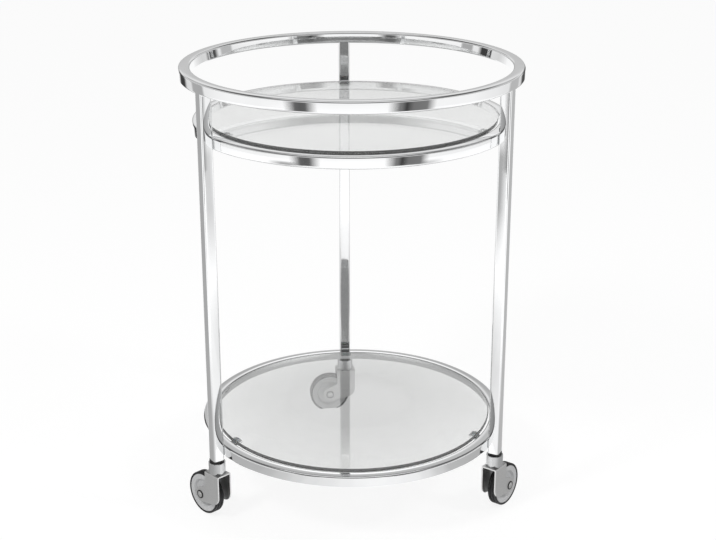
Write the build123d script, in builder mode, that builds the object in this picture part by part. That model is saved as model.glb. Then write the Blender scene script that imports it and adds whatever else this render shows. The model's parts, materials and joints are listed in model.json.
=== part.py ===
"""Round two-shelf bar cart: a chromed square-tube frame, two glass shelves and three swivel casters.

The origin is on the floor under the cart's centre, +Z is up and the rear leg stands on +Y.
"""

import os
from math import cos, radians, sin

from build123d import *

# Frame of square tube, in millimetres
rail_diameter = 520
cart_height = 697
tube = 18
tube_wall = 1.5
tube_corner = 3
tube_inside = tube - 2 * tube_wall
tube_inside_corner = tube_corner - tube_wall

# Legs, seen from above: one at the back and two at the front, each with one face square to the centre
leg_angles = {"rear": 90, "left": 210, "right": 330}
leg_centre_radius = rail_diameter / 2 - tube / 2
leg_bottom = 102
leg_length = cart_height - tube - leg_bottom

# Shelf rings, which stand inside the legs with a shallow flat at each weld
shelf_tops = {"middle": 616, "lower": 126}
weld_flat_depth = 0.3
weld_flat_length = 40
ring_outer_radius = leg_centre_radius - tube / 2 + weld_flat_depth
ring_inner_radius = ring_outer_radius - tube

# Glass discs that stand a little above their rings, the tabs that carry them and the clear pads between
glass_thickness = 6
glass_above_ring = 3
glass_gap = 2
glass_arris = 0.8
tab_length = 15
tab_width = 18
tab_thickness = 2.5
tab_corner = 3
tab_trim = 5
pad_radius = 4.5
pad_thickness = 1.5
pad_inset = 8.5

# Leg insert: a ribbed plug with a square flange that closes the tube
insert_flange = 18.8
flange_thickness = 3
flange_bottom = leg_bottom - flange_thickness
insert_core = 13.4
insert_height = 42
insert_rib_height = 3
insert_rib_pitch = 11
insert_rib_count = 4

# Wheel and tyre
wheel_radius = 34.5
tyre_width = 15
tyre_shoulder = 1.6
tread_groove_width = 1.4
tread_groove_depth = 1.1
tread_groove_offset = 2.6
rim_radius = 31
rim_width = 13.6
rim_inner_radius = 23
rim_round = 0.8
lock_rib_width = 5
lock_rib_depth = 2.2
web_radius = 20
web_width = 6.4
hub_root_radius = 11.5
hub_radius = 9.5
hub_width = 18.7
axle_radius = 4
hub_bush_radius = 5.6
running_clearance = 0.05

# Fork: a pressed yoke with a flat bridge and two cheeks, each an upright arm with a foot that holds the axle
caster_trail = 29
fork_gap = 21.5
fork_sheet = 2.5
fork_width = fork_gap + 2 * fork_sheet
fork_bend = 2.2
fork_inner_bend = 1
bridge_top = 80
bridge_underside = bridge_top - fork_sheet
bridge_front = -16.5
bridge_rear = 16
knee_radius = (bridge_rear - bridge_front) / 2
knee_centre = ((bridge_front + bridge_rear) / 2, 44)
foot_radius = 12
foot_notch_round = 4

# Axle ends and the washers on the axle
thrust_washer_radius = 7
thrust_washer_thickness = 1
axle_washer_radius = 7
axle_washer_thickness = 0.8
dome_base = fork_width / 2 + axle_washer_thickness
dome_radius = 5
dome_height = 1.8
cap_socket_depth = 0.4

# Swivel: collar, bush, stem and washer
flange_clearance = 0.4
collar_radius = 13.3
collar_wall = 1.5
collar_lip_radius = 9
collar_round = 0.9
collar_top = flange_bottom - flange_clearance
stem_radius = 5
stem_top = leg_bottom + 36
stem_tip_chamfer = 1
stem_shoulder_radius = 8
stem_shoulder_bottom = flange_bottom - 3.5
stem_head_radius = 6.6
stem_head_height = 2
stem_washer_radius = 8.5
stem_washer_thickness = 2.1
swivel_clearance = 0.4
bridge_hole_clearance = 0.5
washer_top = bridge_underside - swivel_clearance
washer_bottom = washer_top - stem_washer_thickness
stem_bottom = washer_bottom - stem_head_height

# Rest directions of the casters: the way each wheel trails behind its stem, in degrees from +X
trail_angles = {"rear": 185, "left": 131, "right": 50}

os.makedirs("parts", exist_ok=True)


def save(piece, name):
    piece.part.label = name
    export_step(piece.part, f"parts/{name}.step")


def leg_point(side, z=0):
    angle = radians(leg_angles[side])
    return (leg_centre_radius * cos(angle), leg_centre_radius * sin(angle), z)


def leg_plane(side, z):
    # Level plane on the leg's axis with its X pointing out from the cart's centre
    angle = radians(leg_angles[side])
    return Plane(origin=leg_point(side, z), x_dir=(cos(angle), sin(angle), 0), z_dir=(0, 0, 1))


def polar_at_legs(radius):
    return PolarLocations(radius, len(leg_angles), start_angle=leg_angles["rear"])


# Top rail: a closed ring of square tube over the legs
with BuildPart() as top_rail:
    with BuildSketch(Plane.XZ):
        with Locations((leg_centre_radius, cart_height - tube / 2)):
            RectangleRounded(tube, tube, tube_corner)
            RectangleRounded(tube_inside, tube_inside, tube_inside_corner, mode=Mode.SUBTRACT)
    revolve(axis=Axis.Z)
save(top_rail, "top_rail")

# Shelves: ring, glass, tabs and pads
for shelf, shelf_top in shelf_tops.items():
    glass_bottom = shelf_top + glass_above_ring - glass_thickness
    tab_top = glass_bottom - pad_thickness
    ring_middle = shelf_top - tube / 2

    with BuildPart() as ring:
        with BuildSketch(Plane.XZ):
            with Locations((ring_outer_radius - tube / 2, ring_middle)):
                RectangleRounded(tube, tube, tube_corner)
                RectangleRounded(tube_inside, tube_inside, tube_inside_corner, mode=Mode.SUBTRACT)
        revolve(axis=Axis.Z)
        with Locations((0, 0, ring_middle)):
            with polar_at_legs(leg_centre_radius):
                Box(tube, weld_flat_length, 2 * tube, mode=Mode.SUBTRACT)
    save(ring, f"{shelf}_ring")

    with BuildPart() as glass:
        with BuildSketch(Plane.XY.offset(glass_bottom)):
            Circle(ring_inner_radius - glass_gap)
        extrude(amount=glass_thickness)
        chamfer(glass.edges().filter_by(GeomType.CIRCLE), glass_arris)
    save(glass, f"{shelf}_glass")

    # The tabs' outer ends are trimmed to the ring's inner wall
    with BuildPart() as tabs:
        with BuildSketch(Plane.XY.offset(tab_top - tab_thickness)):
            with polar_at_legs(ring_inner_radius + (tab_trim - tab_length) / 2):
                RectangleRounded(tab_length + tab_trim, tab_width, tab_corner)
            Circle(ring_inner_radius, mode=Mode.INTERSECT)
        extrude(amount=tab_thickness)
    save(tabs, f"{shelf}_glass_tabs")

    with BuildPart() as pads:
        with BuildSketch(Plane.XY.offset(tab_top)):
            with polar_at_legs(ring_inner_radius - pad_inset):
                Circle(pad_radius)
        extrude(amount=pad_thickness)
    save(pads, f"{shelf}_glass_pads")

# Legs and casters, one set for each side
for side in leg_angles:
    trail_angle = radians(trail_angles[side])
    trail = Vector(cos(trail_angle), sin(trail_angle), 0)
    across = Vector(-sin(trail_angle), cos(trail_angle), 0)
    stem_axis = Axis(leg_point(side), (0, 0, 1))
    # Upright plane through the stem and the wheel: X trails, Y is up
    fork_plane = Plane(origin=leg_point(side), x_dir=trail, z_dir=-across)
    # Upright plane through the axle: X is the wheel's radius, Y runs along the axle
    wheel_centre = Vector(*leg_point(side)) + trail * caster_trail + Vector(0, 0, wheel_radius)
    wheel_plane = Plane(origin=wheel_centre, x_dir=(0, 0, 1), z_dir=-trail)
    axle_axis = Axis(wheel_centre, across)

    with BuildPart() as leg:
        with BuildSketch(leg_plane(side, leg_bottom)):
            RectangleRounded(tube, tube, tube_corner)
            RectangleRounded(tube_inside, tube_inside, tube_inside_corner, mode=Mode.SUBTRACT)
        extrude(amount=leg_length)
    save(leg, f"{side}_leg")

    with BuildPart() as insert:
        with BuildSketch(leg_plane(side, flange_bottom)):
            RectangleRounded(insert_flange, insert_flange, tube_corner)
        extrude(amount=flange_thickness)
        with BuildSketch(leg_plane(side, leg_bottom)):
            RectangleRounded(insert_core, insert_core, tube_inside_corner)
        extrude(amount=insert_height)
        for rib in range(insert_rib_count):
            with BuildSketch(leg_plane(side, leg_bottom + rib * insert_rib_pitch)):
                RectangleRounded(tube_inside, tube_inside, tube_inside_corner)
            extrude(amount=insert_rib_height)
        with BuildSketch(leg_plane(side, flange_bottom)):
            Circle(stem_radius)
        extrude(amount=stem_top - flange_bottom, mode=Mode.SUBTRACT)
    save(insert, f"{side}_leg_insert")

    # Stem: headed below the fork, with a thrust shoulder under the flange
    with BuildPart() as stem:
        with BuildSketch(fork_plane):
            with BuildLine():
                Polyline(
                    (0, stem_bottom),
                    (stem_head_radius, stem_bottom),
                    (stem_head_radius, washer_bottom),
                    (stem_radius, washer_bottom),
                    (stem_radius, stem_shoulder_bottom),
                    (stem_shoulder_radius, stem_shoulder_bottom),
                    (stem_shoulder_radius, flange_bottom),
                    (stem_radius, flange_bottom),
                    (stem_radius, stem_top - stem_tip_chamfer),
                    (stem_radius - stem_tip_chamfer, stem_top),
                    (0, stem_top),
                    close=True,
                )
            make_face()
        revolve(axis=stem_axis)
    save(stem, f"{side}_caster_stem")

    with BuildPart() as stem_washer:
        with BuildSketch(leg_plane(side, washer_bottom)):
            Circle(stem_washer_radius)
            Circle(stem_radius, mode=Mode.SUBTRACT)
        extrude(amount=stem_washer_thickness)
    save(stem_washer, f"{side}_stem_washer")

    # Collar: a cup with a turned-in lip that hides the swivel bush
    with BuildPart() as collar:
        with BuildSketch(fork_plane):
            with BuildLine():
                Polyline(
                    (collar_radius - collar_wall, bridge_top),
                    (collar_radius, bridge_top),
                    (collar_radius, collar_top),
                    (collar_lip_radius, collar_top),
                    (collar_lip_radius, collar_top - collar_wall),
                    (collar_radius - collar_wall, collar_top - collar_wall),
                    close=True,
                )
            make_face()
        revolve(axis=stem_axis)
        rim_edges = collar.edges().filter_by(GeomType.CIRCLE).group_by(SortBy.RADIUS)[-1]
        fillet(rim_edges.sort_by(Axis.Z)[-1], collar_round)
    save(collar, f"{side}_caster_collar")

    with BuildPart() as swivel_bush:
        with BuildSketch(leg_plane(side, bridge_top)):
            Circle(collar_radius - collar_wall)
            Circle(stem_radius + running_clearance, mode=Mode.SUBTRACT)
        extrude(amount=stem_shoulder_bottom - swivel_clearance - bridge_top)
    save(swivel_bush, f"{side}_swivel_bush")

    # Fork: the cheeks' outline of arm, knee and foot, then the wheel's slot, the bends and the holes
    with BuildPart() as fork:
        with BuildSketch(fork_plane) as cheek:
            with Locations(knee_centre):
                knee = Circle(knee_radius)
            with Locations((caster_trail, wheel_radius)):
                foot = Circle(foot_radius)
            with Locations((knee_centre[0], bridge_top - fork_sheet / 2)):
                bridge = Rectangle(bridge_rear - bridge_front, fork_sheet)
            make_hull(bridge.edges() + knee.edges())
            make_hull(knee.edges() + foot.edges())
            notch = cheek.vertices().sort_by_distance((bridge_rear, knee_centre[1] + foot_radius))[0]
            fillet(notch, foot_notch_round)
        extrude(amount=fork_width / 2, both=True)
        with BuildSketch(fork_plane):
            with Locations((0, bridge_underside / 2)):
                Rectangle(4 * wheel_radius, bridge_underside)
        extrude(amount=fork_gap / 2, both=True, mode=Mode.SUBTRACT)
        bends = fork.edges().filter_by(Axis(leg_point(side), trail)).group_by(Axis.Z)
        fillet(bends[-2], fork_inner_bend)
        bends = fork.edges().filter_by(Axis(leg_point(side), trail)).group_by(Axis.Z)
        fillet(bends[-1], fork_bend)
        with BuildSketch(leg_plane(side, bridge_underside)):
            Circle(stem_radius + bridge_hole_clearance)
        extrude(amount=fork_sheet, mode=Mode.SUBTRACT)
        with BuildSketch(fork_plane):
            with Locations((caster_trail, wheel_radius)):
                Circle(axle_radius)
        extrude(amount=fork_width, both=True, mode=Mode.SUBTRACT)
    save(fork, f"{side}_caster_fork")

    with BuildPart() as axle:
        with BuildSketch(wheel_plane):
            with BuildLine():
                Polyline(
                    (0, dome_base + dome_height),
                    (0, -dome_base - cap_socket_depth),
                    (axle_radius, -dome_base - cap_socket_depth),
                    (axle_radius, dome_base),
                    (dome_radius, dome_base),
                )
                TangentArc((0, dome_base + dome_height), (dome_radius, dome_base), tangent=(1, 0))
            make_face()
        revolve(axis=axle_axis)
    save(axle, f"{side}_wheel_axle")

    with BuildPart() as axle_cap:
        with BuildSketch(wheel_plane):
            with BuildLine():
                Polyline(
                    (dome_radius, -dome_base),
                    (axle_radius, -dome_base),
                    (axle_radius, -dome_base - cap_socket_depth),
                    (0, -dome_base - cap_socket_depth),
                    (0, -dome_base - dome_height),
                )
                TangentArc((0, -dome_base - dome_height), (dome_radius, -dome_base), tangent=(1, 0))
            make_face()
        revolve(axis=axle_axis)
    save(axle_cap, f"{side}_axle_cap")

    with BuildPart() as axle_washers:
        with BuildSketch(wheel_plane):
            washer_offset = fork_width / 2 + axle_washer_thickness / 2
            with Locations(*((axle_radius, end * washer_offset) for end in (-1, 1))):
                Rectangle(
                    axle_washer_radius - axle_radius,
                    axle_washer_thickness,
                    align=(Align.MIN, Align.CENTER),
                )
        revolve(axis=axle_axis)
    save(axle_washers, f"{side}_axle_washers")

    with BuildPart() as thrust_washers:
        with BuildSketch(wheel_plane):
            washer_offset = fork_gap / 2 - thrust_washer_thickness / 2
            with Locations(*((axle_radius, end * washer_offset) for end in (-1, 1))):
                Rectangle(
                    thrust_washer_radius - axle_radius,
                    thrust_washer_thickness,
                    align=(Align.MIN, Align.CENTER),
                )
        revolve(axis=axle_axis)
    save(thrust_washers, f"{side}_thrust_washers")

    # Wheel: half the section from the bush to the tyre's seat, mirrored about the middle of the tread
    with BuildPart() as wheel:
        with BuildSketch(wheel_plane):
            with BuildLine():
                Polyline(
                    (hub_bush_radius, 0),
                    (hub_bush_radius, hub_width / 2),
                    (hub_radius, hub_width / 2),
                    (hub_root_radius, web_width / 2),
                    (web_radius, web_width / 2),
                    (rim_inner_radius, rim_width / 2),
                    (rim_radius, rim_width / 2),
                    (rim_radius, lock_rib_width / 2),
                    (rim_radius - lock_rib_depth, lock_rib_width / 2),
                    (rim_radius - lock_rib_depth, 0),
                )
                mirror(about=Plane.XZ)
            make_face()
        revolve(axis=axle_axis)
    save(wheel, f"{side}_wheel")

    with BuildPart() as tyre:
        with BuildSketch(wheel_plane):
            with Locations(((rim_radius + wheel_radius) / 2, 0)):
                RectangleRounded(wheel_radius - rim_radius, tyre_width, tyre_shoulder)
            with Locations((rim_radius - lock_rib_depth / 2, 0)):
                Rectangle(lock_rib_depth, lock_rib_width)
            with Locations(*((wheel_radius, end * tread_groove_offset) for end in (-1, 1))):
                Rectangle(2 * tread_groove_depth, tread_groove_width, mode=Mode.SUBTRACT)
        revolve(axis=axle_axis)
    save(tyre, f"{side}_tyre")

    with BuildPart() as hub_bush:
        with BuildSketch(wheel_plane):
            with Locations((axle_radius + running_clearance, 0)):
                Rectangle(
                    hub_bush_radius - axle_radius - running_clearance,
                    hub_width,
                    align=(Align.MIN, Align.CENTER),
                )
        revolve(axis=axle_axis)
    save(hub_bush, f"{side}_hub_bush")
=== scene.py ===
import json
import math

import bmesh
import bpy
from mathutils import Matrix, Vector


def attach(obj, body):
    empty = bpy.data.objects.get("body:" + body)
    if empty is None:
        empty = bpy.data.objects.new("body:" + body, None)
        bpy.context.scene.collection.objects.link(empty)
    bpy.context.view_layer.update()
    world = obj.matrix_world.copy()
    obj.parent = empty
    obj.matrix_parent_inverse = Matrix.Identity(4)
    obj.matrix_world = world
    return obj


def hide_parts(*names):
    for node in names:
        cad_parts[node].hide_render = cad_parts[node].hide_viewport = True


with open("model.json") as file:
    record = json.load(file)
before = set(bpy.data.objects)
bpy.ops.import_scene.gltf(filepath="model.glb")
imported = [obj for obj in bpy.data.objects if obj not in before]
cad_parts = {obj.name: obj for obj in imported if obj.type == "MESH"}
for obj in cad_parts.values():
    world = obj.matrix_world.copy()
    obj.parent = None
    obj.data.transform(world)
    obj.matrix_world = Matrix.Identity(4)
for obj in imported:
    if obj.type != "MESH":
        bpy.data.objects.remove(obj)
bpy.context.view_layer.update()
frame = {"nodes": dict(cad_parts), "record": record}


# Finishes: a pattern is (scale, detail), a relief is (strength, depth)

noiseSpan = (0.3, 0.7)                                                 # where most of the noise lies


def newFinish(name):
    finish = bpy.data.materials.new(name)
    finish.use_nodes = True
    tree = finish.node_tree
    place = tree.nodes.new("ShaderNodeTexCoord")
    return finish, tree, tree.nodes["Principled BSDF"], place.outputs["Object"]


def grain(tree, place, scale, detail):
    noise = tree.nodes.new("ShaderNodeTexNoise")
    noise.inputs["Scale"].default_value = scale
    noise.inputs["Detail"].default_value = detail
    tree.links.new(place, noise.inputs["Vector"])
    return noise.outputs["Fac"]


def spread(tree, value, low, high, start=noiseSpan[0], end=noiseSpan[1]):
    scale = tree.nodes.new("ShaderNodeMapRange")
    for label, number in (("From Min", start), ("From Max", end), ("To Min", low), ("To Max", high)):
        scale.inputs[label].default_value = number
    tree.links.new(value, scale.inputs["Value"])
    return scale.outputs["Result"]


def tint(tree, value, dark, light):
    ramp = tree.nodes.new("ShaderNodeValToRGB")
    for stop, at, colour in zip(ramp.color_ramp.elements, noiseSpan, (dark, light)):
        stop.position, stop.color = at, (*colour, 1)
    tree.links.new(value, ramp.inputs["Fac"])
    return ramp.outputs["Color"]


def coat(tree, shader, place, look):
    # mottled colour and patchy roughness
    mottle = grain(tree, place, *look["mottle"])
    tree.links.new(tint(tree, mottle, look["dark"], look["light"]), shader.inputs["Base Color"])
    patches = grain(tree, place, *look["patches"])
    tree.links.new(spread(tree, patches, *look["rough"]), shader.inputs["Roughness"])
    return mottle


def relief(tree, shader, value, strength, depth):
    bump = tree.nodes.new("ShaderNodeBump")
    bump.inputs["Strength"].default_value = strength
    bump.inputs["Distance"].default_value = depth
    tree.links.new(value, bump.inputs["Height"])
    tree.links.new(bump.outputs["Normal"], shader.inputs["Normal"])


chromeLook = {"dark": (0.89, 0.895, 0.90), "light": (0.94, 0.945, 0.95), "rough": (0.02, 0.06)}
tabLook = {"dark": (0.84, 0.845, 0.85), "light": (0.92, 0.925, 0.93), "rough": (0.42, 0.58)}
# the collar's chrome is the tube's chrome made darker: painted shade for the shaded floor it mirrors beside
# the leg; its higher roughness is a real brushed finish
collarLookShaded = {"dark": (0.60, 0.605, 0.61), "light": (0.68, 0.685, 0.69), "rough": (0.10, 0.20)}
chromeGrain = {"mottle": (14, 4), "patches": (55, 5), "waves": (30, 1), "relief": (0.05, 0.0004)}


def polishedChrome(name, look):
    finish, tree, shader, place = newFinish(name)
    shader.inputs["Metallic"].default_value = 1.0
    coat(tree, shader, place, {**chromeGrain, **look})
    waves = grain(tree, place, *chromeGrain["waves"])
    relief(tree, shader, waves, *chromeGrain["relief"])                # rolled tube is never dead flat
    return finish


glassLook = {"dark": (0.89, 0.897, 0.893), "light": (0.92, 0.927, 0.923), "index": 1.7, "clear": 0.9,
             "mottle": (3, 2), "patches": (220, 6), "rough": (0.0, 0.02, 0.55, 0.8)}    # a little dust


def clearGlass(name):
    finish, tree, shader, place = newFinish(name)
    shader.inputs["Transmission Weight"].default_value = glassLook["clear"]    # the rest is a thin haze
    shader.inputs["IOR"].default_value = glassLook["index"]
    coat(tree, shader, place, glassLook)
    return finish


satinLook = {"dark": (0.66, 0.66, 0.66), "light": (0.76, 0.76, 0.755), "rough": (0.30, 0.46),
             "mottle": (700, 4), "patches": (120, 4), "relief": (0.12, 0.0002)}


def satinSteel(name):
    finish, tree, shader, place = newFinish(name)
    shader.inputs["Metallic"].default_value = 1.0
    crystal = coat(tree, shader, place, satinLook)
    relief(tree, shader, crystal, *satinLook["relief"])
    return finish


pinLook = {"dark": (0.58, 0.58, 0.58), "light": (0.70, 0.70, 0.69), "rough": (0.14, 0.26),
           "mottle": (900, 3), "patches": (900, 3)}


def brightSteel(name):
    finish, tree, shader, place = newFinish(name)
    shader.inputs["Metallic"].default_value = 1.0
    coat(tree, shader, place, pinLook)
    return finish


wheelLook = {"dark": (0.62, 0.625, 0.63), "light": (0.70, 0.705, 0.71), "rough": (0.34, 0.48),
             "mottle": (420, 5), "patches": (90, 3), "relief": (0.08, 0.0002)}


def greyMoulding(name):
    finish, tree, shader, place = newFinish(name)
    speckle = coat(tree, shader, place, wheelLook)
    relief(tree, shader, speckle, *wheelLook["relief"])
    return finish


rubberLook = {"dark": (0.010, 0.010, 0.011), "light": (0.030, 0.030, 0.032), "rough": (0.52, 0.74),
              "mottle": (160, 6), "patches": (60, 4), "pores": (1500, 3), "relief": (0.2, 0.0002)}


def blackRubber(name):
    finish, tree, shader, place = newFinish(name)
    coat(tree, shader, place, rubberLook)
    pores = grain(tree, place, *rubberLook["pores"])
    relief(tree, shader, pores, *rubberLook["relief"])
    return finish


mouldingLook = {"dark": (0.008, 0.008, 0.008), "light": (0.022, 0.022, 0.022), "rough": (0.35, 0.55),
                "mottle": (260, 4), "patches": (100, 3)}


def blackMoulding(name):
    finish, tree, shader, place = newFinish(name)
    coat(tree, shader, place, mouldingLook)
    return finish


nylonLook = {"dark": (0.62, 0.62, 0.58), "light": (0.74, 0.74, 0.70), "rough": (0.40, 0.55),
             "mottle": (180, 4), "patches": (80, 3)}


def paleNylon(name):
    finish, tree, shader, place = newFinish(name)
    coat(tree, shader, place, nylonLook)
    return finish


bumperLook = {"dark": (0.84, 0.85, 0.845), "light": (0.90, 0.91, 0.905), "rough": (0.25, 0.40), "milky": 0.2,
              "mottle": (140, 3), "patches": (90, 3)}


def clearBumper(name):
    finish, tree, shader, place = newFinish(name)
    shader.inputs["Subsurface Weight"].default_value = bumperLook["milky"]
    coat(tree, shader, place, bumperLook)
    return finish


finishes = {
    "chrome_tube": polishedChrome("tubeChrome", chromeLook),
    "chrome_collar": polishedChrome("collarChromeShaded", collarLookShaded),
    "chrome_tab": polishedChrome("tabChrome", tabLook),
    "clear_glass": clearGlass("shelfGlass"),
    "clear_pad": clearBumper("glassBumper"),
    "black_insert": blackMoulding("insertBlack"),
    "black_washer": blackMoulding("washerBlack"),
    "black_tyre": blackRubber("tyreRubber"),
    "grey_wheel": greyMoulding("wheelGrey"),
    "satin_fork": satinSteel("forkSatin"),
    "steel_pin": brightSteel("pinSteel"),
    "nylon_bush": paleNylon("bushNylon"),
}
for part in frame["record"]["subparts"]:
    node = frame["nodes"][part["node"]]
    node.data.materials.clear()
    node.data.materials.append(finishes[part["material_slot"]])
print("finishes:", len(finishes))


# Making and placing pieces

def putOut(name, data):
    thing = bpy.data.objects.new(name, data)
    bpy.context.scene.collection.objects.link(thing)
    return thing


def plainMesh(shape, name):
    mesh = bpy.data.meshes.new(name)
    shape.to_mesh(mesh)
    shape.free()
    return mesh


def bakedMesh(thing):
    # the object's modifiers become a plain mesh, and the object goes
    bpy.context.view_layer.update()
    mesh = bpy.data.meshes.new_from_object(thing.evaluated_get(bpy.context.evaluated_depsgraph_get()))
    bpy.data.objects.remove(thing)
    return mesh


def settle(name, mesh, body, slotName, nodes, sharpAngle=None, evenFaces=True):
    piece = putOut(name, mesh)
    mesh.name = name
    mesh.materials.clear()
    mesh.materials.append(finishes[slotName])
    for face in mesh.polygons:
        face.use_smooth = True
        face.material_index = 0
    if sharpAngle:
        mesh.set_sharp_from_angle(angle=math.radians(sharpAngle))
    if evenFaces:
        weigh = piece.modifiers.new("evenFaces", "WEIGHTED_NORMAL")
        weigh.keep_sharp = True
    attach(piece, body)
    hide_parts(*nodes)


def easeCorners(corners, steps):
    # each corner is (across, along, radius); a radius of 0 stays sharp
    points = []
    for i, (x, y, ease) in enumerate(corners):
        here = Vector((x, y))
        if ease == 0:
            points.append(here)
            continue
        before = (Vector(corners[i - 1][:2]) - here).normalized()
        after = (Vector(corners[(i + 1) % len(corners)][:2]) - here).normalized()
        half = before.angle(after) / 2
        centre = here + (before + after).normalized() * ease / math.sin(half)
        start = here + before * ease / math.tan(half) - centre
        turn = math.pi - 2 * half
        if before.x * after.y - before.y * after.x > 0:
            turn = -turn
        for k in range(steps + 1):
            points.append(centre + Matrix.Rotation(turn * k / steps, 2) @ start)
    return points


def bothHalves(half):
    return half + [(x, -y, ease) for x, y, ease in reversed(half)]


def turnedMesh(points, steps, place):
    # closed section of (radius, height) turned about Z, then put in place
    shape = bmesh.new()
    columns = []
    for x, z in points:
        if x == 0:
            columns.append([shape.verts.new((0, 0, z))] * steps)
        else:
            columns.append([shape.verts.new((x * math.cos(a), x * math.sin(a), z))
                            for a in (2 * math.pi * k / steps for k in range(steps))])
    for one, two in zip(columns, columns[1:] + columns[:1]):
        if one[0] is one[-1] and two[0] is two[-1]:
            continue                                                   # both ends on the axis
        for k in range(steps):
            ring = [one[k], one[(k + 1) % steps], two[(k + 1) % steps], two[k]]
            shape.faces.new(list(dict.fromkeys(ring)))
    bmesh.ops.recalc_face_normals(shape, faces=shape.faces)
    bmesh.ops.transform(shape, matrix=place, verts=shape.verts)
    return plainMesh(shape, "turned")


def newTree(name, inputs):
    tree = bpy.data.node_groups.new(name, "GeometryNodeTree")
    tree.interface.new_socket("shape", in_out="OUTPUT", socket_type="NodeSocketGeometry")
    for label, kind in inputs.items():
        tree.interface.new_socket(label, in_out="INPUT", socket_type="NodeSocket" + kind)
    return tree, tree.nodes.new("NodeGroupInput").outputs, tree.nodes.new("NodeGroupOutput").inputs


def addNode(tree, kind, settings=None, **wires):
    node = tree.nodes.new(kind)
    for key, value in (settings or {}).items():
        setattr(node, key, value)
    for label, source in wires.items():
        socket = node.inputs[label.replace("_", " ")]
        if isinstance(source, bpy.types.NodeSocket):
            tree.links.new(source, socket)
        else:
            socket.default_value = source
    return node


def grow(name, tree, values):
    stock = putOut(name + "Stock", bpy.data.meshes.new(name + "Stock"))
    shape = stock.modifiers.new("shape", "NODES")
    shape.node_group = tree
    for item in tree.interface.items_tree:
        if item.in_out == "INPUT":
            shape[item.identifier] = values[item.name]
    return bakedMesh(stock)


# Square tube: three rings and three legs

tube = {"width": 0.018, "corner": 0.003, "cornerSteps": 10, "aroundSteps": 288}
rings = {
    "topRail": {"node": "top_rail", "radius": 0.251, "middle": 0.688},
    "middleRing": {"node": "middle_ring", "radius": 0.2333, "middle": 0.607},
    "lowerRing": {"node": "lower_ring", "radius": 0.2333, "middle": 0.117},
}
legs = {"angles": {"rear": 90, "left": 210, "right": 330}, "radius": 0.251, "bottom": 0.102, "top": 0.6815,
        "sharp": 60}


def tubeSection(tree, given):
    square = addNode(tree, "GeometryNodeCurvePrimitiveQuadrilateral",
                     Width=given["width"], Height=given["width"])
    rounded = addNode(tree, "GeometryNodeFilletCurve", {"mode": "POLY"}, Curve=square.outputs["Curve"],
                      Radius=given["corner"], Count=given["cornerSteps"])
    return rounded.outputs["Curve"]


def finishTree(tree, shape, given, out):
    whole = addNode(tree, "GeometryNodeRealizeInstances", Geometry=shape)
    smooth = addNode(tree, "GeometryNodeSetShadeSmooth", Geometry=whole.outputs["Geometry"])
    coated = addNode(tree, "GeometryNodeSetMaterial", Geometry=smooth.outputs["Geometry"],
                     Material=given["finish"])
    tree.links.new(coated.outputs["Geometry"], out["shape"])


def ringTree():
    tree, given, out = newTree("tubeRing", {
        "width": "Float", "corner": "Float", "cornerSteps": "Int", "aroundSteps": "Int",
        "radius": "Float", "middle": "Float", "finish": "Material"})
    path = addNode(tree, "GeometryNodeCurvePrimitiveCircle", Radius=given["radius"],
                   Resolution=given["aroundSteps"])
    bent = addNode(tree, "GeometryNodeCurveToMesh", Curve=path.outputs["Curve"],
                   Profile_Curve=tubeSection(tree, given))
    lift = addNode(tree, "ShaderNodeCombineXYZ", Z=given["middle"])
    lifted = addNode(tree, "GeometryNodeTransform", Geometry=bent.outputs["Mesh"],
                     Translation=lift.outputs["Vector"])
    finishTree(tree, lifted.outputs["Geometry"], given, out)
    return tree


def legTree():
    tree, given, out = newTree("tubeLegs", {
        "width": "Float", "corner": "Float", "cornerSteps": "Int", "radius": "Float",
        "bottom": "Float", "top": "Float", "finish": "Material"})
    low = addNode(tree, "ShaderNodeCombineXYZ", Z=given["bottom"])
    high = addNode(tree, "ShaderNodeCombineXYZ", Z=given["top"])
    path = addNode(tree, "GeometryNodeCurvePrimitiveLine", Start=low.outputs["Vector"],
                   End=high.outputs["Vector"])
    leg = addNode(tree, "GeometryNodeCurveToMesh", Curve=path.outputs["Curve"],
                  Profile_Curve=tubeSection(tree, given), Fill_Caps=True)
    feet = addNode(tree, "GeometryNodeMeshCircle", Vertices=len(legs["angles"]), Radius=given["radius"])
    turned = addNode(tree, "GeometryNodeTransform", Geometry=feet.outputs["Mesh"],
                     Rotation=(0, 0, math.radians(legs["angles"]["rear"])))
    outward = addNode(tree, "GeometryNodeInputPosition")
    facing = addNode(tree, "FunctionNodeAlignRotationToVector", {"axis": "X"},
                     Vector=outward.outputs["Position"])
    placed = addNode(tree, "GeometryNodeInstanceOnPoints", Points=turned.outputs["Geometry"],
                     Instance=leg.outputs["Mesh"], Rotation=facing.outputs["Rotation"])
    finishTree(tree, placed.outputs["Instances"], given, out)
    return tree


def seatOnLegs(mesh):
    # the ring is flattened where it meets each leg's inner face
    face = legs["radius"] - tube["width"] / 2
    for angle in legs["angles"].values():
        outward = Vector((math.cos(math.radians(angle)), math.sin(math.radians(angle)), 0))
        for vertex in mesh.vertices:
            over = vertex.co.dot(outward) - face
            if over > 0:
                vertex.co -= outward * over


ringShape, legShape = ringTree(), legTree()
for name, ring in rings.items():
    mesh = grow(name, ringShape, {**tube, **ring, "finish": finishes["chrome_tube"]})
    if name != "topRail":
        seatOnLegs(mesh)
    settle(name, mesh, "frame", "chrome_tube", [ring["node"]], evenFaces=False)    # tube has a slight crown
mesh = grow("legs", legShape, {**tube, **legs, "finish": finishes["chrome_tube"]})
settle("legs", mesh, "frame", "chrome_tube", ["left_leg", "right_leg", "rear_leg"], legs["sharp"], False)
print("tube frame:", len(rings), "rings and", len(legs["angles"]), "legs")


# Glass shelves

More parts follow.
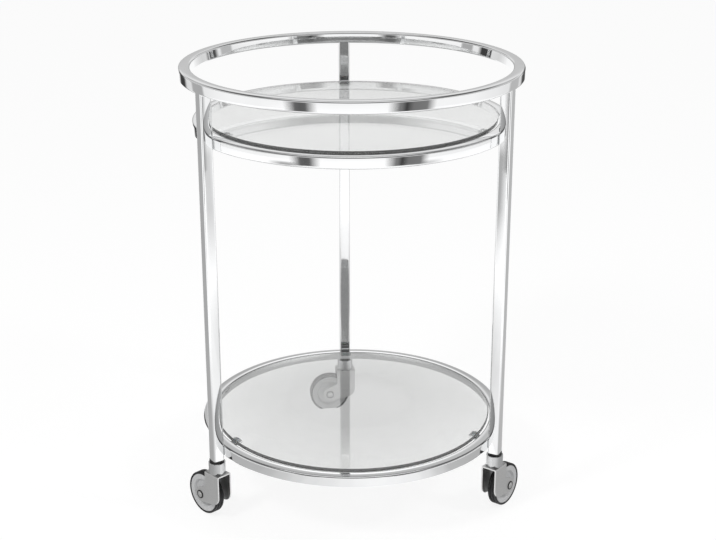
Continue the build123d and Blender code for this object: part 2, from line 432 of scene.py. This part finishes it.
glass = {"radius": 0.2223, "thickness": 0.006, "arris": {"middle": 0.0008, "lower": 0.0022}, "arrisSteps": 3,
         "aroundSteps": 256, "bottoms": {"middle": 0.613, "lower": 0.123}, "sharp": 50}
for shelf, low in glass["bottoms"].items():
    high, arris = low + glass["thickness"], glass["arris"][shelf]
    edge = [(glass["radius"], low, arris), (glass["radius"], high, arris), (0, high, 0), (0, low, 0)]
    section = easeCorners(edge, glass["arrisSteps"])
    disc = turnedMesh(section, glass["aroundSteps"], Matrix.Identity(4))
    settle(shelf + "Glass", disc, "frame", "clear_glass", [shelf + "_glass"], glass["sharp"])
print("glass shelves:", len(glass["bottoms"]))


# Casters

sides = ("left", "right", "rear")
casterSharp = 40
wheelRadius = 0.0345
collar = {"radius": 0.0133, "wall": 0.0015, "lip": 0.009, "low": 0.080, "high": 0.0986, "ease": 0.0009,
          "edge": 0.0004, "easeSteps": 4, "aroundSteps": 72}
fork = {"gap": 0.0215, "sheet": 0.0025, "bridgeTop": 0.080, "front": -0.0165, "rear": 0.016,
        "bend": 0.0022, "innerBend": 0.001, "bendSteps": 6, "kneeHeight": 0.044, "kneeSteps": 24,
        "foot": 0.012, "footSteps": 40, "notch": 0.004, "notchSteps": 10,
        "edge": 0.0005, "edgeSteps": 2, "edgeAngle": 50,
        "blankHalf": 0.02, "yokeFrom": -0.05, "yokeTo": 0.08}          # these three only reach past it
wheel = {"bush": 0.0056, "hub": 0.0095, "hubHalf": 0.00935, "hubEase": 0.0005, "hubRoot": 0.0115,
         "rootEase": 0.0012, "web": 0.020, "webHalf": 0.0032, "webEase": 0.0010, "rimInner": 0.023,
         "lipEase": 0.0008, "rim": 0.031, "rimHalf": 0.0068, "rimEase": 0.0005, "ribHalf": 0.0025,
         "ribDepth": 0.0022, "easeSteps": 3, "aroundSteps": 96}
tyre = {"half": 0.0075, "shoulder": 0.0016, "groove": 0.0014, "grooveDepth": 0.0011, "grooveOffset": 0.0026,
        "grooveEase": 0.0002, "easeSteps": 5, "aroundSteps": 128}
axle = {"radius": 0.004, "dome": 0.005, "domeHeight": 0.0018, "domeSteps": 8, "base": 0.01405,
        "socket": 0.0004, "aroundSteps": 40}
washer = {"radius": 0.007, "inner": 0.01325, "ease": 0.0002, "easeSteps": 2, "aroundSteps": 48}
joints = {joint["name"]: joint for joint in frame["record"]["behaviour"]["joints"]}


def casterPlace(side):
    # upright: Z on the stem and X towards the axle; across: Z along the axle
    stem = Vector(joints[side + "_caster_turn"]["pos_m"])
    centre = Vector(joints[side + "_wheel_spin"]["pos_m"])
    trail = centre - stem
    trail.z = 0
    heading = Matrix.Rotation(math.atan2(trail.y, trail.x), 4, "Z")
    upright = Matrix.Translation((stem.x, stem.y, 0)) @ heading
    across = (upright @ Matrix.Translation((trail.length, 0, centre.z))
              @ Matrix.Rotation(math.radians(-90), 4, "X"))
    return upright, across, trail.length


def collarSection():
    inner, ceiling = collar["radius"] - collar["wall"], collar["high"] - collar["wall"]
    corners = [(inner, collar["low"], 0), (collar["radius"], collar["low"], collar["edge"]),
               (collar["radius"], collar["high"], collar["ease"]),
               (collar["lip"], collar["high"], collar["edge"]), (collar["lip"], ceiling, 0),
               (inner, ceiling, 0)]
    return easeCorners(corners, collar["easeSteps"])


def wheelSection():
    half = [(wheel["bush"], wheel["hubHalf"], 0), (wheel["hub"], wheel["hubHalf"], wheel["hubEase"]),
            (wheel["hubRoot"], wheel["webHalf"], wheel["rootEase"]),
            (wheel["web"], wheel["webHalf"], wheel["webEase"]),
            (wheel["rimInner"], wheel["rimHalf"], wheel["lipEase"]),
            (wheel["rim"], wheel["rimHalf"], wheel["rimEase"]), (wheel["rim"], wheel["ribHalf"], 0),
            (wheel["rim"] - wheel["ribDepth"], wheel["ribHalf"], 0)]
    return easeCorners(bothHalves(half), wheel["easeSteps"])


def tyreSection():
    seat, floor = wheel["rim"], wheelRadius - tyre["grooveDepth"]
    near = tyre["grooveOffset"] - tyre["groove"] / 2
    far = tyre["grooveOffset"] + tyre["groove"] / 2
    ease, shoulder = tyre["grooveEase"], tyre["shoulder"]
    half = [(seat - wheel["ribDepth"], wheel["ribHalf"], 0), (seat, wheel["ribHalf"], 0),
            (seat, tyre["half"], shoulder), (wheelRadius, tyre["half"], shoulder),
            (wheelRadius, far, ease), (floor, far, ease), (floor, near, ease), (wheelRadius, near, ease)]
    return easeCorners(bothHalves(half), tyre["easeSteps"])


def domeSection(sign):
    # domed end over the washer; the pin carries one dome and the cap is the other
    base, rise, steps = axle["base"], axle["domeHeight"], axle["domeSteps"]
    drop = (axle["dome"] ** 2 - rise ** 2) / (2 * rise)                # from the washer to the ball's centre
    ball, sweep = drop + rise, math.atan2(axle["dome"], drop)
    dome = [(ball * math.sin(sweep * k / steps), base - drop + ball * math.cos(sweep * k / steps))
            for k in range(steps + 1)]
    end = -base - axle["socket"] if sign > 0 else base + axle["socket"]
    tail = [(axle["radius"], base), (axle["radius"], end), (0, end)]
    return [Vector((x, sign * y)) for x, y in dome + tail]


def washerMesh(place):
    pair = bmesh.new()
    bore, rim, ease = axle["radius"], washer["radius"], washer["ease"]
    for low, high in ((-axle["base"], -washer["inner"]), (washer["inner"], axle["base"])):
        corners = [(bore, low, 0), (rim, low, ease), (rim, high, ease), (bore, high, 0)]
        ring = turnedMesh(easeCorners(corners, washer["easeSteps"]), washer["aroundSteps"], place)
        pair.from_mesh(ring)
        bpy.data.meshes.remove(ring)
    return plainMesh(pair, "washers")


def prism(outline, low, high, alongX):
    # an outline in an upright plane pushed from low to high
    shape = bmesh.new()
    put = (lambda p, d: (d, p[0], p[1])) if alongX else (lambda p, d: (p[0], d, p[1]))
    face = shape.faces.new([shape.verts.new(put(p, low)) for p in outline])
    pushed = bmesh.ops.extrude_face_region(shape, geom=[face])["geom"]
    shift = (high - low, 0, 0) if alongX else (0, high - low, 0)
    bmesh.ops.translate(shape, vec=shift, verts=[v for v in pushed if isinstance(v, bmesh.types.BMVert)])
    bmesh.ops.recalc_face_normals(shape, faces=shape.faces)
    return putOut("prism", plainMesh(shape, "prism"))


def arc(centre, radius, start, end, steps):
    turns = [start + (end - start) * k / steps for k in range(steps + 1)]
    return [(centre.x + radius * math.cos(a), centre.y + radius * math.sin(a), 0) for a in turns]


def cheekOutline(trail):
    # a round knee under the bridge, an arm, and a round foot about the axle
    front, rear, top = fork["front"], fork["rear"], fork["bridgeTop"]
    kneeRadius = (rear - front) / 2
    knee, foot = Vector((front + kneeRadius, fork["kneeHeight"])), Vector((trail, wheelRadius))
    run = foot - knee
    lean = math.atan2(run.y, run.x)
    swing = math.acos((kneeRadius - fork["foot"]) / run.length)
    outline = [(front, top, 0)]
    outline += arc(knee, kneeRadius, -math.pi, lean - swing, fork["kneeSteps"])
    outline += arc(foot, fork["foot"], lean - swing, lean + swing, fork["footSteps"])
    slope = math.tan(lean + swing - math.pi / 2)
    outline.append((rear, outline[-1][1] + slope * (rear - outline[-1][0]), fork["notch"]))
    outline.append((rear, top, 0))
    return easeCorners(outline, fork["notchSteps"])


def forkMesh(place, trail):
    inner, top, bend, innerBend = fork["gap"] / 2, fork["bridgeTop"], fork["bend"], fork["innerBend"]
    outer, under = inner + fork["sheet"], top - fork["sheet"]
    yoke = [(-outer, 0, 0), (-outer, top, bend), (outer, top, bend), (outer, 0, 0),
            (inner, 0, 0), (inner, under, innerBend), (-inner, under, innerBend), (-inner, 0, 0)]
    cutter = prism(easeCorners(yoke, fork["bendSteps"]), fork["yokeFrom"], fork["yokeTo"], True)
    blank = prism(cheekOutline(trail), -fork["blankHalf"], fork["blankHalf"], False)
    trim = blank.modifiers.new("yoke", "BOOLEAN")
    trim.operation, trim.solver, trim.object = "INTERSECT", "EXACT", cutter
    soften = blank.modifiers.new("edge", "BEVEL")
    soften.width, soften.segments = fork["edge"], fork["edgeSteps"]
    soften.limit_method, soften.angle_limit = "ANGLE", math.radians(fork["edgeAngle"])
    mesh = bakedMesh(blank)
    bpy.data.objects.remove(cutter)
    mesh.transform(place)
    return mesh


for side in sides:
    upright, across, trail = casterPlace(side)
    swivel, roller = side + "_swivel", side + "_roller"
    cup = turnedMesh(collarSection(), collar["aroundSteps"], upright)
    pin, cap = (turnedMesh(domeSection(sign), axle["aroundSteps"], across) for sign in (1, -1))
    disc = turnedMesh(wheelSection(), wheel["aroundSteps"], across)
    tread = turnedMesh(tyreSection(), tyre["aroundSteps"], across)
    for label, mesh, body, slotName, node in (
            ("Collar", cup, swivel, "chrome_collar", "_caster_collar"),
            ("Fork", forkMesh(upright, trail), swivel, "satin_fork", "_caster_fork"),
            ("Axle", pin, swivel, "steel_pin", "_wheel_axle"),
            ("AxleCap", cap, swivel, "steel_pin", "_axle_cap"),
            ("AxleWashers", washerMesh(across), swivel, "black_washer", "_axle_washers"),
            ("Wheel", disc, roller, "grey_wheel", "_wheel"),
            ("Tyre", tread, roller, "black_tyre", "_tyre")):
        settle(side + label, mesh, body, slotName, [side + node], casterSharp)
print("casters:", len(sides))


# Floor, studio and camera; a tone is (place along the ramp, grey)

studio = {"floorRadius": 30.0, "floorSides": 96, "floorColour": 0.86, "fill": 0.62,
          "eyeFloor": {"glow": 0.86, "matt": 0.20},                    # what the camera sees
          "mirrorFloor": {"glow": 0.75, "matt": 0.50}}                 # what metal and glass see
# greys from the horizon up to straight overhead
sky = {"back": ((0.0, 0.22), (0.03, 0.30), (0.055, 0.52), (0.17, 0.55), (0.21, 0.58), (0.232, 0.82),
                (0.28, 0.80), (0.34, 0.56), (0.385, 0.40), (0.41, 0.48), (0.44, 0.54), (0.50, 0.52),
                (0.62, 0.12), (0.84, 0.12), (0.91, 0.80), (1.0, 0.85)),
       "front": ((0.0, 0.9), (0.30, 0.80), (0.40, 0.10), (0.84, 0.06), (0.92, 0.80), (1.0, 0.85)),
       "room": ((0.0, 0.9), (0.03, 0.55), (0.10, 0.10), (0.84, 0.06), (0.92, 0.80), (1.0, 0.85)),
       "frontToBack": (-0.80, -0.30)}                                  # the room is dark on the camera's side
# a bright patch behind the cart for the lower glass to mirror; its depth doesn't count
patch = {"centre": (0.0467, 0, 0.4321), "half": (0.091, 1000, 0.0358), "soft": 0.45, "tone": 1.15}


def grey(tone):
    return (tone, tone, tone, 1)


def sums(tree, kind, one, two):
    node = tree.nodes.new("ShaderNodeMath")
    node.operation, node.use_clamp = kind, True
    for socket, value in zip(node.inputs, (one, two)):
        if isinstance(value, bpy.types.NodeSocket):
            tree.links.new(value, socket)
        else:
            socket.default_value = value
    return node.outputs[0]


def rayKind(tree, *kinds):
    # 1 for the named kinds of ray, 0 for the rest and for all that have left a matt surface
    path = tree.nodes.new("ShaderNodeLightPath")
    total = path.outputs[kinds[0]]
    for kind in kinds[1:]:
        total = sums(tree, "ADD", total, path.outputs[kind])
    return sums(tree, "MULTIPLY", total, sums(tree, "LESS_THAN", path.outputs["Diffuse Depth"], 0.5))


def toneRamp(tree, source, stops):
    ramp = tree.nodes.new("ShaderNodeValToRGB")
    for i, (at, tone) in enumerate(stops):
        stop = ramp.color_ramp.elements[i] if i < 2 else ramp.color_ramp.elements.new(at)
        stop.position, stop.color = at, grey(tone)
    tree.links.new(source, ramp.inputs["Fac"])
    return ramp.outputs["Color"]


def choose(tree, share, one, two):
    mix = tree.nodes.new("ShaderNodeMixShader")
    tree.links.new(share, mix.inputs["Fac"])
    tree.links.new(one, mix.inputs[1])
    tree.links.new(two, mix.inputs[2])
    return mix.outputs["Shader"]


def blend(tree, share, one, two):
    mix = tree.nodes.new("ShaderNodeMix")
    mix.data_type = "RGBA"
    tree.links.new(share, mix.inputs["Factor"])
    tree.links.new(one, mix.inputs[6])                                 # colour A and colour B
    tree.links.new(two, mix.inputs[7])
    return mix.outputs[2]


def splitAxes(tree, vector):
    split = tree.nodes.new("ShaderNodeSeparateXYZ")
    tree.links.new(vector, split.inputs["Vector"])
    return split.outputs


def layFloor():
    plate = bmesh.new()
    bmesh.ops.create_circle(plate, cap_ends=True, segments=studio["floorSides"], radius=studio["floorRadius"])
    floor = putOut("floor", plainMesh(plate, "floor"))
    paint = bpy.data.materials.new("floorPaint")
    paint.use_nodes = True
    paint.cycles.emission_sampling = "NONE"
    tree = paint.node_tree
    tree.nodes.clear()
    plain = tree.nodes.new("ShaderNodeBsdfDiffuse")
    plain.inputs["Color"].default_value = grey(studio["floorColour"])
    seen = []
    for look in (studio["eyeFloor"], studio["mirrorFloor"]):           # white, and still shaded by the cart
        matt = tree.nodes.new("ShaderNodeBsdfDiffuse")
        matt.inputs["Color"].default_value = grey(look["matt"])
        glow = tree.nodes.new("ShaderNodeEmission")
        glow.inputs["Strength"].default_value = look["glow"]
        both = tree.nodes.new("ShaderNodeAddShader")
        tree.links.new(matt.outputs["BSDF"], both.inputs[0])
        tree.links.new(glow.outputs["Emission"], both.inputs[1])
        seen.append(both.outputs["Shader"])
    inMirror = rayKind(tree, "Is Glossy Ray", "Is Transmission Ray")
    mirrored = choose(tree, inMirror, plain.outputs["BSDF"], seen[1])
    out = tree.nodes.new("ShaderNodeOutputMaterial")
    tree.links.new(choose(tree, rayKind(tree, "Is Camera Ray"), mirrored, seen[0]), out.inputs["Surface"])
    floor.data.materials.append(paint)


def patchShare(tree, direction):
    spot = direction
    for kind, vector in (("SUBTRACT", patch["centre"]), ("DIVIDE", patch["half"])):
        node = tree.nodes.new("ShaderNodeVectorMath")
        node.operation = kind
        tree.links.new(spot, node.inputs[0])
        node.inputs[1].default_value = vector
        spot = node.outputs["Vector"]
    reach = tree.nodes.new("ShaderNodeVectorMath")
    reach.operation = "LENGTH"
    tree.links.new(spot, reach.inputs[0])
    inside = spread(tree, reach.outputs["Value"], 1, 0, patch["soft"], 1)
    behind = sums(tree, "GREATER_THAN", splitAxes(tree, direction)["Y"], 0)
    return sums(tree, "MULTIPLY", inside, behind)


def hangSky():
    world = bpy.data.worlds.new("studio")
    bpy.context.scene.world = world
    world.use_nodes = True
    tree = world.node_tree
    tree.nodes.clear()
    direction = tree.nodes.new("ShaderNodeTexCoord").outputs["Generated"]
    axes = splitAxes(tree, direction)
    mirrors = tree.nodes.new("ShaderNodeLightPath").outputs["Glossy Depth"]
    back, front, room = (toneRamp(tree, axes["Z"], sky[part]) for part in ("back", "front", "room"))
    front = blend(tree, sums(tree, "GREATER_THAN", mirrors, 1.5), front, room)    # mirror seen in a mirror
    around = blend(tree, spread(tree, axes["Y"], 0, 1, *sky["frontToBack"]), front, back)
    bright = tree.nodes.new("ShaderNodeRGB")
    bright.outputs["Color"].default_value = grey(patch["tone"])
    ceiling, plain, white = (tree.nodes.new("ShaderNodeBackground") for k in range(3))
    tree.links.new(blend(tree, patchShare(tree, direction), around, bright.outputs["Color"]),
                   ceiling.inputs["Color"])
    plain.inputs["Strength"].default_value = studio["fill"]
    white.inputs["Color"].default_value = grey(1)
    mirrored = choose(tree, rayKind(tree, "Is Glossy Ray"), plain.outputs["Background"],
                      ceiling.outputs["Background"])
    direct = sums(tree, "MULTIPLY", rayKind(tree, "Is Camera Ray", "Is Transmission Ray"),
                  sums(tree, "LESS_THAN", mirrors, 0.5))
    out = tree.nodes.new("ShaderNodeOutputWorld")
    tree.links.new(choose(tree, direct, mirrored, white.outputs["Background"]), out.inputs["Surface"])


softboxes = {
    "keyBox": {"from": (-1.6, -1.4, 2.3), "to": (0, 0, 0.35), "size": 0.55, "power": 22},
    "fillBox": {"from": (1.9, -0.9, 2.0), "to": (0, 0, 0.35), "size": 0.45, "power": 11},
}


def hangLights():
    for name, box in softboxes.items():
        lamp = bpy.data.lights.new(name, "AREA")
        lamp.shape, lamp.size, lamp.energy = "DISK", box["size"], box["power"]
        light = putOut(name, lamp)
        light.location = box["from"]
        light.rotation_euler = (Vector(box["to"]) - light.location).to_track_quat("-Z", "Y").to_euler()
        light.visible_glossy = False                                   # no hot spots along the tube's corners


# Cloths for the metal and the glass to show, and sheets of painted shade on the floor about the cart. Each
# runs between two angles about its centre, lies on the floor from near to far, stands up to high, and fades
# at its ends and along the last stretch. They show in mirrors, or, where it says so, in a mirror through
# glass or straight through glass.
clothCut = {"steps": 24, "lift": 0.001, "gap": 0.0005, "centre": (0, 0), "along": ((0, 1), (0.8, 1), (1, 0)),
            "seen": "mirror"}
flags = {
    "leftFlag": {"from": 225.5, "to": 247, "near": 1.9, "far": 1.9, "high": 0.75, "soft": (0.35, 0.35),
                 "tones": ((0, 0.20), (0.5, 0.11), (1, 0.16))},
    "rightFlag": {"from": 288, "to": 319, "near": 1.9, "far": 1.9, "high": 0.75, "soft": (0.25, 0.2),
                  "tones": ((0, 0.20), (0.28, 0.20), (0.38, 0.05), (0.52, 0.18), (1, 0.22))},
    "leftSide": {"from": 127.7, "to": 147, "near": 0.6, "far": 0.85, "high": 0.9, "soft": (0.25, 0.25),
                 "tones": ((0, 0.05), (1, 0.05))},
    "rightSide": {"from": 36, "to": 55.7, "near": 0.6, "far": 0.85, "high": 0.9, "soft": (0.25, 0.25),
                  "tones": ((0, 0.08), (1, 0.08))},
    # painted shade: the cart's shade on the floor beside it, seen only in mirrors, strongest next to the
    # cart, grey at both ends and white straight in front
    "frontFloorShade": {"from": 162, "to": 378, "near": 0.28, "far": 1.0, "high": 0, "soft": (0.05, 0.05),
                   "along": ((0, 1), (0.35, 1), (1, 0)),
                   "tones": ((0, 0.42), (0.11, 0.45), (0.235, 0.50), (0.30, 0.63), (0.37, 0.80),
                             (0.44, 0.88), (0.51, 0.98), (0.58, 0.98), (0.65, 0.93), (0.71, 0.68),
                             (0.75, 0.52), (0.88, 0.45), (1, 0.42))},
    "leftFloor": {"from": 108, "to": 232, "near": 2.6, "far": 4.8, "high": 0, "soft": (0.15, 0.2),
                  "tones": ((0, 0.60), (0.35, 0.84), (0.6, 0.97), (1, 0.97))},
    "rightFloor": {"from": -68, "to": 72, "near": 2.6, "far": 4.8, "high": 0, "soft": (0.2, 0.15),
                   "tones": ((0, 0.97), (0.4, 0.97), (0.65, 0.84), (1, 0.60))},
    "roomFloor": {"from": 225, "to": 315, "near": 0.02, "far": 4.5, "high": 0, "soft": (0.2, 0.2),
                  "tones": ((0, 0.33), (1, 0.33)), "seen": "mirror through glass"},
    # painted shade: a grey sheet on the floor under the rear half of the cart, seen only straight through the
    # glass; it darkens the lower glass so that the rear leg's reflection shows against the bright patch
    "floorShadeUnderGlass": {"centre": (0.0142, 0.2711), "from": 0, "to": 360, "near": 0.001, "far": 0.242, "high": 0,
                   "soft": (0, 0), "along": ((0, 1), (0.45, 1), (1, 0)), "tones": ((0, 0.66), (1, 0.66)),
                   "seen": "glass"},
    # painted shadow: the cart's shadow on the floor under and behind it, seen only in mirrors
    "floorShadeBehindCart": {"centre": (0, -0.15), "from": 55, "to": 125, "near": 0.01, "far": 1.6, "high": 0,
                  "soft": (0.25, 0.25), "along": ((0, 1), (0.5, 1), (1, 0)), "tones": ((0, 0.42), (1, 0.42))},
    "leftFar": {"from": 208, "to": 236, "near": 1.0, "far": 2.3, "high": 0, "soft": (0.4, 0.4),
                "along": ((0, 0), (0.4, 1), (0.8, 1), (1, 0)), "tones": ((0, 0.45), (1, 0.45))},
    "rightFar": {"from": 304, "to": 332, "near": 1.0, "far": 2.3, "high": 0, "soft": (0.4, 0.4),
                 "along": ((0, 0), (0.4, 1), (0.8, 1), (1, 0)), "tones": ((0, 0.70), (1, 0.70))},
    "leftStrip": {"centre": (-0.217, -0.1255), "from": 138, "to": 157, "near": 0.05, "far": 0.8,
                  "high": 0.75, "soft": (0.15, 0.15), "tones": ((0, 0.42), (1, 0.42))},
    "rightStrip": {"centre": (0.217, -0.1255), "from": 30, "to": 50, "near": 0.05, "far": 0.8,
                   "high": 0.75, "soft": (0.15, 0.15), "tones": ((0, 0.50), (1, 0.50))},
}


def seenShare(tree, seen):
    path = tree.nodes.new("ShaderNodeLightPath").outputs
    share = sums(tree, "LESS_THAN" if seen == "glass" else "GREATER_THAN", path["Glossy Depth"], 0.5)
    if seen != "mirror":
        share = sums(tree, "MULTIPLY", share, path["Is Transmission Ray"])
    return share


def clothOrPaintedShade(name, flag):
    cloth = bpy.data.materials.new(name)
    cloth.use_nodes = True
    cloth.cycles.emission_sampling = "NONE"
    tree = cloth.node_tree
    tree.nodes.clear()
    axes = splitAxes(tree, tree.nodes.new("ShaderNodeTexCoord").outputs["UV"])
    start, end = flag["soft"]                                          # 0 leaves that end hard
    ends = ((0, int(start == 0)), (start, 1), (1 - end, 1), (1, int(end == 0)))
    fade = sums(tree, "MULTIPLY", toneRamp(tree, axes["X"], ends), toneRamp(tree, axes["Y"], flag["along"]))
    share = sums(tree, "MULTIPLY", fade, seenShare(tree, flag["seen"]))
    clear = tree.nodes.new("ShaderNodeBsdfTransparent")
    dark = tree.nodes.new("ShaderNodeEmission")
    tree.links.new(toneRamp(tree, axes["X"], flag["tones"]), dark.inputs["Color"])
    surface = choose(tree, share, clear.outputs["BSDF"], dark.outputs["Emission"])
    out = tree.nodes.new("ShaderNodeOutputMaterial")
    tree.links.new(surface, out.inputs["Surface"])
    return cloth


def flagMesh(name, flag, lift):
    panel = bmesh.new()
    uv = panel.loops.layers.uv.new("spread")
    steps, flat = flag["steps"], flag["high"] == 0
    x, y = flag["centre"]
    spots = ((flag["near"], lift), (flag["far"], lift), (flag["far"], flag["high"]))
    columns = []
    for k in range(steps + 1):
        angle = math.radians(flag["from"] + (flag["to"] - flag["from"]) * k / steps)
        columns.append([panel.verts.new((x + reach * math.cos(angle), y + reach * math.sin(angle), z))
                        for reach, z in spots])
    strips = []
    if flag["near"] < flag["far"]:
        strips.append((0, 1, int(flat)))                               # lying; it fades only if flat
    if not flat:
        strips.append((1, 2, 1))                                       # standing
    for k in range(steps):
        for low, high, fade in strips:
            face = panel.faces.new((columns[k][low], columns[k + 1][low],
                                    columns[k + 1][high], columns[k][high]))
            for loop, (column, up) in zip(face.loops, ((k, 0), (k + 1, 0), (k + 1, fade), (k, fade))):
                loop[uv].uv = (column / steps, up)
    return plainMesh(panel, name)


def standFlags():
    for i, (name, cut) in enumerate(flags.items()):
        flag = {**clothCut, **cut}
        board = putOut(name, flagMesh(name, flag, flag["lift"] + flag["gap"] * i))    # no two in one plane
        board.data.materials.append(clothOrPaintedShade(name, flag))
        board.visible_camera = board.visible_diffuse = board.visible_shadow = False


view = {"azimuth": 267.0, "distance": 2.106, "height": 1.130, "pitch": 19.97, "yaw": 0.255, "lens": 71.2,
        "sensor": 36.0}


def standCamera():
    angle = math.radians(view["azimuth"])
    lens = bpy.data.cameras.new("camera")
    lens.lens, lens.sensor_width = view["lens"], view["sensor"]
    camera = putOut("camera", lens)
    camera.location = (view["distance"] * math.cos(angle), view["distance"] * math.sin(angle), view["height"])
    heading = angle + math.pi - math.radians(view["yaw"])
    camera.rotation_euler = (math.radians(90 - view["pitch"]), 0, heading - math.radians(90))
    bpy.context.scene.camera = camera


layFloor()
hangSky()
hangLights()
standFlags()
standCamera()
bpy.context.scene.view_settings.view_transform = "Standard"
print("studio:", len(softboxes), "lamps and", len(flags), "cloths")
